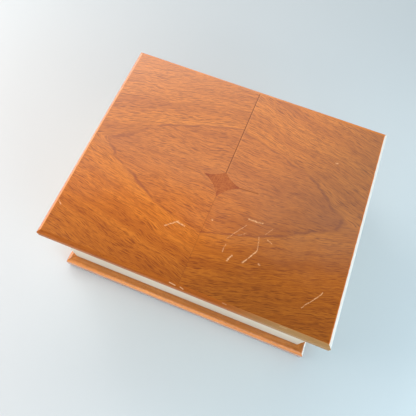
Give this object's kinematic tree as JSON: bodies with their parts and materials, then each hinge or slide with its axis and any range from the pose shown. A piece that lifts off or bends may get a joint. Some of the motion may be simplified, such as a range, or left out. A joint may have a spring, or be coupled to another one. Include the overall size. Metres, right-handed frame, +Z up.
{
  "type": "puzzle box",
  "caption": "Low wooden box with an overhanging hinged lid, a star inlay, a sliding front panel over a hidden keyhole and a hidden key drawer in its base.",
  "frame": {"origin": "middle of the underside of the closed box", "axes": "+Z up, +X to the right along the front, +Y to the back, where the hinges are"},
  "size_m": [0.15, 0.122, 0.062],
  "materials": {
    "lid_veneer": "gloss lacquered veneer",
    "moulding_wood": "gloss lacquered solid wood",
    "star_wood": "gloss lacquered inlay",
    "ivory_lacquer": "satin ivory lacquer",
    "core_wood": "bare planed wood",
    "plywood": "bare plywood",
    "velvet": "short pile velvet",
    "felt": "pressed felt",
    "brass": "brushed brass",
    "steel": "brushed steel"
  },
  "bodies": {
    "case": {"base_felt": "felt", "base_board": "core_wood", "base_moulding_front": "moulding_wood", "base_moulding_back": "moulding_wood", "base_moulding_right": "moulding_wood", "base_screws": "steel", "drawer_stop_pin": "steel", "drawer_spring": "steel", "keyhole_wall": "ivory_lacquer", "panel_spring": "steel", "left_wall": "ivory_lacquer", "right_wall": "ivory_lacquer", "back_wall": "ivory_lacquer", "case_floor": "plywood", "floor_lining": "velvet", "back_lining": "velvet", "left_lining": "velvet", "right_lining": "velvet", "front_lining": "velvet", "keyhole_plate": "brass", "lock_case": "steel", "lock_cover": "steel", "lock_screws": "steel", "bolt_guide_pins": "steel", "hinge_left_case_leaf": "brass", "hinge_right_case_leaf": "brass", "hinge_left_pin": "steel", "hinge_right_pin": "steel", "hinge_case_screws": "brass"},
    "lid": {"lid_core": "core_wood", "lid_lipping_front": "moulding_wood", "lid_lipping_back": "moulding_wood", "lid_lipping_left": "moulding_wood", "lid_lipping_right": "moulding_wood", "lid_veneer_left": "lid_veneer", "lid_veneer_right": "lid_veneer", "lid_star": "star_wood", "lid_liner": "plywood", "lid_lining": "velvet", "keeper": "brass", "keeper_screws": "brass", "hinge_left_lid_leaf": "brass", "hinge_right_lid_leaf": "brass", "hinge_lid_screws": "brass"},
    "front_panel": {"front_panel": "ivory_lacquer", "panel_runner_lower": "core_wood", "panel_runner_upper": "core_wood", "panel_stop_pin": "brass"},
    "key_drawer": {"drawer_front": "moulding_wood", "key_tray": "core_wood", "tray_lining": "velvet", "key": "brass"},
    "lock_cam": {"lock_cam": "brass"},
    "lock_bolt": {"lock_bolt": "brass"}
  },
  "joints": [
    {"name": "lid_hinge", "type": "hinge", "parent": "case", "child": "lid", "pos_m": [0, 0.0569, 0.0551], "axis": [-1, 0, 0], "range_deg": [0, 95]},
    {"name": "panel_slide", "type": "slide", "parent": "case", "child": "front_panel", "axis": [1, 0, 0], "range_m": [0, 0.024]},
    {"name": "drawer_slide", "type": "slide", "parent": "case", "child": "key_drawer", "axis": [-1, 0, 0], "range_m": [0, 0.046]},
    {"name": "lock_turn", "type": "hinge", "parent": "case", "child": "lock_cam", "pos_m": [-0.054, -0.0458, 0.0375], "axis": [0, 1, 0], "range_deg": [0, 80]},
    {"name": "bolt_slide", "type": "slide", "parent": "case", "child": "lock_bolt", "axis": [1, 0, 0], "range_m": [0, 0.00515]}
  ],
  "couplings": [
    {"joint": "lock_turn", "follows": "bolt_slide", "rad_per_m": 271.1}
  ]
}
